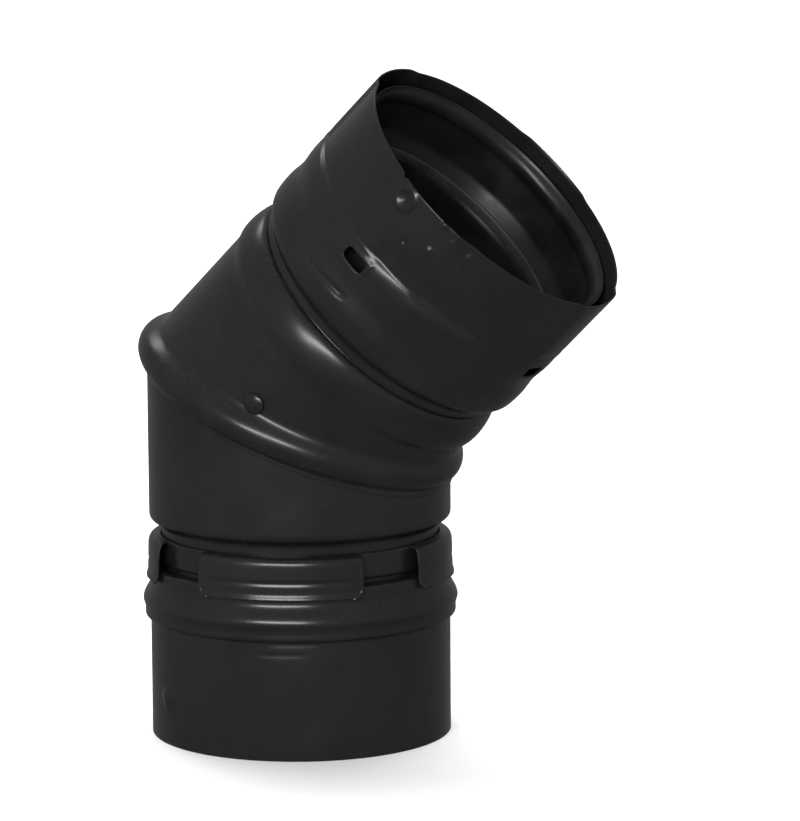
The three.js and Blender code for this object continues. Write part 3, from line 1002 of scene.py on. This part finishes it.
@dataclass
class MouthCollar:
    """The twist-lock mouth: a bulged band and a skirt with four pressed entry channels."""

    leg: Leg
    wall: float = 0.5
    neck: float = 42.8
    neck_bottom: float = 40.0
    neck_top: float = 41.5
    bulge: float = 45.9
    bulge_bottom: float = 47.5
    bulge_top: float = 67.0
    skirt: float = 45.0
    skirt_bottom: float = 70.0
    rim: float = 91.5
    channel: float = 46.0
    channels: tuple[float, ...] = equal_turns(-87.0)
    channel_half: float = 13.5
    channel_flank: float = 6.0
    window_turn: float = -8.0
    window_width: float = 8.0
    window_height: float = 3.8
    window_below: float = 3.5
    window_lip: float = 0.3
    shoulder: float = -69.0
    shoulder_half: float = 19.0
    shoulder_flank: float = 8.0
    shoulder_drop: float = 0.85
    shoulder_swell: float = 0.25
    ring_dimple: Spot = Spot(-96.6, 87.4)
    ring_depth: float = 0.45
    crease: Spot = Spot(-99, 52.5)
    crease_depth: float = 0.5
    nick: float = -103.0
    nick_depth: float = 0.7
    nick_half: float = 1.4

    def _windows(self) -> list[Spot]:
        """The middle of each stop window, one beside each channel."""
        return [Spot(channel + self.window_turn, self.bulge_top - self.window_below)
                for channel in self.channels]

    def _pressing(self, azimuth: Array, height: Array) -> Array:
        """Everything pressed into the band and the skirt.

        The band has a low bead near its foot and a waist above it. Each entry channel lifts the
        skirt over a sector with smooth flanks, and each window has a raised lip. In front the band
        ends in a ramp down to the channel. One ring dimple and a few small spots lie in the front
        channel, and a short crease crosses the band's bead.
        """
        shift = sum(depth * swell(height - middle, half) for middle, half, depth in BAND_WAVES)
        lifted = np.zeros_like(azimuth)
        for channel in self.channels:
            away = np.degrees(np.abs(turned(azimuth - math.radians(channel))))
            lifted += plateau(away, self.channel_half, self.channel_flank)
        on_skirt = step(height, self.bulge_top - 0.5, self.skirt_bottom + 0.5)
        shift = shift + (self.channel - self.skirt) * lifted * on_skirt
        away = np.degrees(np.abs(turned(azimuth - math.radians(self.shoulder))))
        front = plateau(away, self.shoulder_half, self.shoulder_flank)
        ramp = step(height, 66.2, 69.6) * (1 - step(height, 71, 80))
        shift = shift + front * (self.shoulder_swell * swell(height - 65.2, 3.2)
                                 - self.shoulder_drop * ramp)
        for window in self._windows():
            outside = np.maximum(
                np.abs(window.around(azimuth, self.bulge)) - self.window_width / 2,
                np.abs(height - window.height) - self.window_height / 2)
            shift = shift + self.window_lip * swell(outside - 0.7, 1.2)
        ring = self.ring_dimple.distance(azimuth, height, self.channel)
        shift = shift + self.ring_depth * (swell(ring - 3.0, 1.1) - swell(ring, 2.2))
        for dimple in MOUTH_DIMPLES:
            shift = shift + dimple.shift(azimuth, height, self.channel)
        across = self.crease.around(azimuth, self.bulge)
        slant = height - self.crease.height - 0.1 * across
        return shift - self.crease_depth * swell(slant, 1.4) * plateau(across, 6.5, 3.0)

    def _nicked(self, azimuth: Array, radius: Array, height: Array) -> tuple[Array, Array]:
        """Sets the rim back a little at one small nick."""
        nick = swell(turned(azimuth - math.radians(self.nick)) * self.skirt, self.nick_half)
        return radius, height - self.nick_depth * nick * step(height, self.rim - 3, self.rim)

    def _cutters(self, reach: float = 3.0) -> list[bpy.types.Object]:
        """Cutters for the stop windows.

        Each is a super-ellipse of the window's size, carried straight through the wall from
        `reach` inside it to `reach` outside.
        """
        cutters = []
        turn = np.linspace(0, 2 * np.pi, 40, endpoint=False)
        wide, tall = (size / 2 * np.sign(wave) * np.abs(wave) ** 0.4 for size, wave in (
            (self.window_width, np.cos(turn)), (self.window_height, np.sin(turn))))
        radius = np.array([self.bulge - reach, self.bulge + reach])[:, None]
        for window in self._windows():
            azimuth = math.radians(window.azimuth) + np.arctan2(wide[None, :], radius)
            height = np.broadcast_to(window.height + tall[None, :], azimuth.shape)
            points = self.leg.place(np.hypot(radius, wide[None, :]), azimuth, height)
            cutter = mesh_of("window_cutter", [Grid(points, close_rows=False)])
            with editing(cutter) as form:
                form.faces.new(form.verts[:len(turn)])
                form.faces.new(form.verts[len(turn):])
            cutters.append(cutter)
        return cutters

    def build(self) -> bpy.types.Object:
        """The collar with its windows cut."""
        path = (Outline(self.neck, self.neck_bottom).line(self.neck, self.neck_top)
                .curve((self.neck, self.neck_top + 2.5), (self.bulge, self.bulge_bottom - 4),
                       (self.bulge, self.bulge_bottom))
                .line(self.bulge, self.bulge_top)
                .curve((self.bulge, self.bulge_top + 1.6), (self.skirt, self.skirt_bottom - 1.6),
                       (self.skirt, self.skirt_bottom))
                .line(self.skirt, self.rim))
        piece = sheet("mouth_collar_sheet", self.leg, path, self.wall,
                      crowded_azimuths(480, (UPPER_FRONT,)), self._pressing, self._nicked)
        cut_through(piece, self._cutters())
        piece.data.polygons.foreach_set("use_smooth", np.full(len(piece.data.polygons), True))
        return piece


# ------------------------------------------------------------------ the liner
# The ring seal's section: where it starts, and two handles and an end for each of its curves.
SEAL_START = (38.8, 64.6)
SEAL_CURVES = (((39.3, 64.5), (39.6, 65.6), (40.0, 66.6)),
               ((40.2, 67.2), (39.6, 67.8), (39.0, 67.6)),
               ((38.6, 67.4), (38.7, 65.6), (38.8, 64.7)))


@dataclass
class Liner:
    """The inner tube: a lower and an upper gore, and the flared bell in the mouth."""

    bend: Bend
    seam: Seam
    wall: float = 0.4
    radius: float = 38.5
    socket: float = 39.2
    socket_bottom: float = 48.0
    socket_top: float = 59.0
    hem: float = -2.4
    fine_top: float = 5.0
    straight: float = 25.0
    upper_end: float = 56.0
    bell: float = 43.0
    bell_bottom: float = 50.0
    cone_bottom: float = 63.0
    cone_top: float = 71.5
    bead_bottom: float = 80.5
    bead_middle: float = 84.0
    bead_depth: float = 1.5
    lip: float = 87.5

    def lower(self) -> bpy.types.Object:
        """The lower gore: a socket round the spigot, the tube and its mitred end."""
        start, end = self.socket_top + 3, self.bend.mitre_height
        path = (Outline(self.socket, self.socket_bottom, spacing=1.0)
                .line(self.socket, self.socket_top).line(self.radius, start)
                .line(self.radius, end - 0.6).line(self.radius + 0.5, end - 0.1))
        return sheet("liner_lower_gore_tube", self.bend.lower, path, self.wall,
                     crowded_azimuths(240), shaping=self.seam.mitred(start, end))

    def upper(self) -> bpy.types.Object:
        """The upper gore with its own small seam bead, as one closed sheet."""
        rows = np.concatenate([np.arange(self.hem, self.fine_top, 0.3),
                               np.arange(self.fine_top, self.straight, 1.0), [self.straight]])
        top = np.array([[self.radius, self.upper_end], [self.radius - self.wall, self.upper_end]])
        return self.seam.upper_gore("liner_upper_gore_tube", self.bend.upper,
                                    crowded_azimuths(240), (rows, rows[::-1]), top, self.straight)

    def flare(self) -> bpy.types.Object:
        """The bell: a socket, a cone, and a bead rolled inwards below the lip."""
        bead = self.bell - self.bead_depth
        path = (Outline(self.socket, self.bell_bottom, spacing=0.5)
                .line(self.socket, self.cone_bottom)
                .curve((self.socket, self.cone_bottom + 1.5), (self.bell, self.cone_top - 1.5),
                       (self.bell, self.cone_top))
                .line(self.bell, self.bead_bottom)
                .curve((self.bell, self.bead_bottom + 1.5), (bead, self.bead_middle - 1.8),
                       (bead, self.bead_middle))
                .curve((bead, self.bead_middle + 1.8), (self.bell, self.lip - 1.5),
                       (self.bell, self.lip)))
        return sheet("liner_bell_flare", self.bend.upper, path, self.wall,
                     crowded_azimuths(300, (SEEN_INSIDE,)))

    def seal(self) -> bpy.types.Object:
        """The ring seal in the bell: a wedge with a rounded lip that points inwards."""
        path = Outline(*SEAL_START, spacing=0.2)
        for curve in SEAL_CURVES:
            path.curve(*curve)
        return mesh_of("bell_seal_ring",
                       [revolved(self.bend.upper, path.points(), crowded_azimuths(200))])


# ------------------------------------------------------------------ rivets and clips
@dataclass
class Rivet:
    """A domed rivet through the upper gore's wall, with a small upset tail behind."""

    leg: Leg
    spot: Spot
    head: float = 3.1
    dome: float = 1.25
    rim: float = 0.35
    shank: float = 1.5
    grip: float = 1.4
    tail: float = 2.1
    tail_end: float = 2.3
    centre: float = 0.02
    wall_radius: float = 44.65

    def build(self, name: str) -> bpy.types.Object:
        """A profile turned about the line that runs out through the wall.

        The head is a flat ellipse with a rolled rim, and the place of each point is the spot on
        the wall plus its offsets along the wall and outwards. The profile stops `centre` off the
        line, so that no face folds up there.
        """
        angle = np.linspace(0, np.pi / 2, 12)[:-1]
        dome = np.stack([self.head * np.cos(angle),
                         self.rim + (self.dome - self.rim) * np.sin(angle)], 1)
        tail = [[self.centre, -self.tail_end], [self.tail - 0.3, -self.tail_end],
                [self.tail, 0.3 - self.tail_end], [self.tail, -self.grip],
                [self.shank, -self.grip]]
        rim = [[self.shank, 0.0], [self.head - 0.25, 0.0], [self.head, 0.15]]
        profile = np.concatenate([tail, rim, dome, [[self.centre, self.dome]]])
        turn = np.linspace(0, 2 * np.pi, 48, endpoint=False)[None, :]
        around, along = profile[:, :1] * np.cos(turn), profile[:, :1] * np.sin(turn)
        outward = self.wall_radius + profile[:, 1:] + np.zeros_like(around)
        azimuth = math.radians(self.spot.azimuth) + np.arctan2(around, outward)
        return mesh_of(name, [Grid(self.leg.place(np.hypot(outward, around), azimuth,
                                                  self.spot.height + along))])


@dataclass
class Clip:
    """A bent leaf that holds the liner in the middle of the casing.

    Attributes:
        leg: The leg that it lies in.
        inner: Radius of the liner under its feet.
        outer: Radius that its crown reaches.
        height: Height of its lower end.
        length: Its length along the leg.
        leaf: Thickness of the leaf.
        reach: Half of its width round the leg.
        crown: Half width of the crown.
        foot: How far from the middle the feet start.
    """

    leg: Leg
    inner: float
    outer: float
    height: float
    length: float
    leaf: float = 0.5
    reach: float = 6.0
    crown: float = 2.0
    foot: float = 3.9

    def build(self, name: str, azimuth: float) -> bpy.types.Object:
        """The leaf's section, two feet, two slopes and a crown, carried along the leg.

        The outward place of the middle of the leaf rises from the foot to the crown by a smooth
        step in the distance from the middle of the clip.
        """
        across = np.linspace(-self.reach, self.reach, 61)
        rise = 1 - step(np.abs(across), self.crown, self.foot)
        middle = self.inner + self.leaf / 2 + (self.outer - self.inner - self.leaf) * rise
        slope = np.gradient(middle, across)
        normal = np.stack([-slope, np.ones_like(slope)], 1)
        normal /= np.linalg.norm(normal, axis=1, keepdims=True)
        spine = np.stack([across, middle], 1)
        front, back = spine + normal * self.leaf / 2, spine - normal * self.leaf / 2
        side, out = np.concatenate([front, back[::-1]]).T[:, None, :]
        along = self.height + np.array([0.0, 0.15, 0.5, 0.85, 1.0])[:, None] * self.length
        points = self.leg.place(np.hypot(out, side), math.radians(azimuth)
                                + np.arctan2(side, out), along)
        count = len(across)
        caps = [Grid(np.stack([row[:count], row[:count - 1:-1]]), False, False)
                for row in (points[0], points[-1])]
        piece = mesh_of(name, [Grid(points, close_rows=False), *caps], smooth=False)
        with editing(piece) as form:
            bmesh.ops.remove_doubles(form, verts=form.verts, dist=1e-7)
        return piece


# ------------------------------------------------------------------ studio
@dataclass(frozen=True)
class Lamp:
    """A soft rectangular lamp that faces the object.

    Attributes:
        name: Name of the lamp.
        azimuth: Degrees to the right of the camera.
        elevation: Degrees above the floor.
        distance: Metres from the object.
        size: Width and height in metres.
        power: Watts.
        floor_only: Leaves no highlight on glossy pieces.
    """

    name: str
    azimuth: float
    elevation: float
    distance: float
    size: tuple[float, float]
    power: float
    floor_only: bool = False


LAMPS = (
    Lamp("key_softbox", -15, 15, 1.8, (1.2, 0.18), 40),
    Lamp("rear_softbox", -150, 42, 2.0, (0.5, 0.4), 3),
    Lamp("overhead_softbox", 175, 68, 2.2, (2.4, 1.6), 75, floor_only=True),
)


@dataclass
class Studio:
    """The floor, the light and the camera.

    Attributes:
        target: What the camera and the lamps face, in millimetres.
        azimuth: Degrees that the camera stands round to the right of the front.
        elevation: Degrees that it looks down.
        roll: Degrees that it is rolled.
        distance: Millimetres from the target.
        lens: Focal length in millimetres.
        floor_near: Where the floor starts, in metres behind the object.
        floor_flat: Where it starts to curve up.
        floor_radius: Radius of that curve.
        floor_top: Height of the backdrop.
        floor_half: Half of the floor's width.
        front: Strength of the surround on the camera's side.
        back: Strength of the surround behind the object.
        below: Share of either that is left straight below.
    """

    target: tuple[float, float, float]
    azimuth: float = 26.5
    elevation: float = 9.11
    roll: float = -0.34
    distance: float = 1262.1
    lens: float = 190.43
    floor_near: float = -2.5
    floor_flat: float = 1.6
    floor_radius: float = 0.9
    floor_top: float = 3.2
    floor_half: float = 3.2
    front: float = 0.62
    back: float = 0.26
    below: float = 0.45

    def _towards(self, azimuth: float, elevation: float) -> Vector:
        """The direction from the object to a place, by degrees right of the camera and up."""
        turn, lift = math.radians(self.azimuth + azimuth), math.radians(elevation)
        return Vector((math.sin(turn) * math.cos(lift), -math.cos(turn) * math.cos(lift),
                       math.sin(lift)))

    def camera(self) -> None:
        """A long lens that looks at the target from the front and a little above."""
        turn, tilt = math.radians(self.azimuth), math.radians(self.roll)
        back = self._towards(0, self.elevation)
        data = bpy.data.cameras.new("studio_camera")
        data.lens, data.sensor_width = self.lens, 36.0
        data.clip_start, data.clip_end = 0.05, 20.0
        camera = bpy.data.objects.new("studio_camera", data)
        bpy.context.scene.collection.objects.link(camera)
        right = Vector((math.cos(turn), math.sin(turn), 0.0))
        up = back.cross(right)
        rolled_right = right * math.cos(tilt) + up * math.sin(tilt)
        rolled_up = up * math.cos(tilt) - right * math.sin(tilt)
        place = (Vector(self.target) + back * self.distance) * MM
        rows = Matrix((rolled_right, rolled_up, back)).transposed().to_4x4()
        camera.matrix_world = Matrix.Translation(place) @ rows
        bpy.context.scene.camera = camera

    def floor(self) -> None:
        """A pale plain floor that curves up into a backdrop far behind the object.

        Its height is zero over the floor and rises as a quarter circle and then straight.
        """
        bow = np.linspace(0.1, np.pi / 2, 14)
        level = np.linspace(self.floor_near, self.floor_flat, 12)
        depth = np.concatenate([level, self.floor_flat + self.floor_radius * np.sin(bow),
                                [self.floor_flat + self.floor_radius]])[:, None]
        height = np.concatenate([0 * level, self.floor_radius * (1 - np.cos(bow)),
                                 [self.floor_top]])[:, None]
        turn = math.radians(self.azimuth)
        across = np.linspace(-self.floor_half, self.floor_half, 9)[None, :]
        x = across * math.cos(turn) - depth * math.sin(turn)
        y = across * math.sin(turn) + depth * math.cos(turn)
        points = np.stack(np.broadcast_arrays(x, y, height), axis=-1)
        sweep = mesh_of("studio_floor", [Grid(points, False, False)])
        material = bpy.data.materials.new("pale_floor")
        material.use_nodes = True
        shader = material.node_tree.nodes["Principled BSDF"]
        shader.inputs["Base Color"].default_value = (0.86, 0.86, 0.86, 1)
        shader.inputs["Roughness"].default_value = 0.9
        shader.inputs["Specular IOR Level"].default_value = 0.1
        sweep.data.materials.append(material)
        sweep.visible_glossy = False

    def light(self, lamp: Lamp) -> None:
        """Sets up one lamp, unseen by the camera."""
        back = self._towards(lamp.azimuth, lamp.elevation)
        data = bpy.data.lights.new(lamp.name, "AREA")
        data.shape, data.size, data.size_y, data.energy = "RECTANGLE", *lamp.size, lamp.power
        light = bpy.data.objects.new(lamp.name, data)
        light.visible_camera, light.visible_glossy = False, not lamp.floor_only
        bpy.context.scene.collection.objects.link(light)
        light.location = Vector(self.target) * MM + back * lamp.distance
        light.rotation_mode = "QUATERNION"
        light.rotation_quaternion = (-back).to_track_quat("-Z", "Y")

    def world(self) -> None:
        """A white surround, brighter before the object than behind it and dimmer below.

        Its strength is a smooth step in how far a direction points to the front, times another in
        how far it points up.
        """
        world = bpy.data.worlds.new("studio_world")
        world.use_nodes = True
        nodes = Nodes(world.node_tree)
        way = nodes.add("ShaderNodeTexCoord").outputs["Generated"]
        ahead = nodes.add("ShaderNodeVectorMath", {0: way, 1: self._towards(0, 0)},
                          operation="DOT_PRODUCT").outputs["Value"]
        up = nodes.add("ShaderNodeSeparateXYZ", {0: way}).outputs["Z"]
        strength = nodes.math("MULTIPLY", nodes.span(ahead, -0.9, 0.6, self.back, self.front),
                              nodes.span(up, -0.7, 0.1, self.below, 1.0))
        background = world.node_tree.nodes["Background"]
        nodes.tree.links.new(strength, background.inputs["Strength"])
        background.inputs["Color"].default_value = (1, 1, 1, 1)
        bpy.context.scene.world = world

    def build(self) -> None:
        """Sets up the whole studio."""
        self.camera()
        self.floor()
        self.world()
        for lamp in LAMPS:
            self.light(lamp)
        bpy.context.scene.view_settings.view_transform = "Standard"


# ------------------------------------------------------------------ the whole elbow
# Length of the upper leg, and the point that the camera looks at: how far towards +X from the
# lower leg's axis, and how high.
UPPER_LENGTH = 91.5
LOOK_ALONG, LOOK_HEIGHT = 33.18, 97.46
RIVET_TURN, RIVET_HEIGHT = 86.0, 9.8
CLIP_TURNS = (30, 150, 270)
FINISHES = {Slot.PAINT: STOVE_PAINT, Slot.LINER: BLUED_LINER, Slot.SPRING: BARE_SPRING,
            Slot.SILICONE: RING_RUBBER, Slot.ROPE: GLASS_ROPE}


def build_elbow(bend: Bend) -> None:
    """Builds and dresses every piece of the elbow."""
    effects = Effects()
    materials = {slot: finish.material(effects) for slot, finish in FINISHES.items()}
    lower, upper = bend.lower, bend.upper
    casing = Seam(44.5, wall=0.5, height=3.0, section=5.5, growth=0.8, blend=2.2,
                  half=bend.half, sink=0.25, lean=0.7)
    liner = Liner(bend, Seam(38.5, wall=0.4, height=1.2, section=3.0, growth=0.0, blend=1.0,
                             half=bend.half))
    end = SwivelEnd(lower)
    pieces = [
        (end.collar(), "swivel_collar", Slot.PAINT),
        (end.inner_tube(), "liner_spigot", Slot.LINER),
        (RopeSeal(lower).build(), "swivel_gasket", Slot.ROPE),
        (HookRing(lower).build(), "hook_ring", Slot.PAINT),
        (LowerGore(bend, casing).build(), "casing_lower_gore", Slot.PAINT),
        (UpperGore(upper, casing).build(), "casing_upper_gore", Slot.PAINT),
        (MouthCollar(upper).build(), "mouth_collar", Slot.PAINT),
        (liner.lower(), "liner_lower_gore", Slot.LINER),
        (liner.upper(), "liner_upper_gore", Slot.LINER),
        (liner.flare(), "liner_bell", Slot.LINER),
        (liner.seal(), "bell_gasket", Slot.SILICONE),
    ]
    for side, azimuth in (("front", -RIVET_TURN), ("back", RIVET_TURN)):
        rivet = Rivet(upper, Spot(azimuth, RIVET_HEIGHT)).build(f"seam_rivet_{side}_head")
        pieces.append((rivet, f"seam_rivet_{side}", Slot.PAINT))
    clips = {"spigot_spacer": Clip(lower, 38.8, 42.8, height=33, length=5),
             "lower_spacer": Clip(lower, 38.8, 43.3, height=69, length=6),
             "upper_spacer": Clip(upper, 38.8, 43.3, height=26, length=6)}
    for name, clip in clips.items():
        for index, azimuth in enumerate(CLIP_TURNS, start=1):
            leaf = clip.build(f"{name}_{index}_leaf", azimuth)
            pieces.append((leaf, f"{name}_{index}", Slot.SPRING))
    for piece, node, slot in pieces:
        stand_for(piece, node, materials[slot])


def main() -> None:
    logging.basicConfig(level=logging.INFO)
    bend = Bend.from_frame(UPPER_LENGTH)
    build_elbow(bend)
    Studio(target=(bend.lower.origin[0] + LOOK_ALONG, 0.0, LOOK_HEIGHT)).build()


if __name__ == "__main__":
    main()
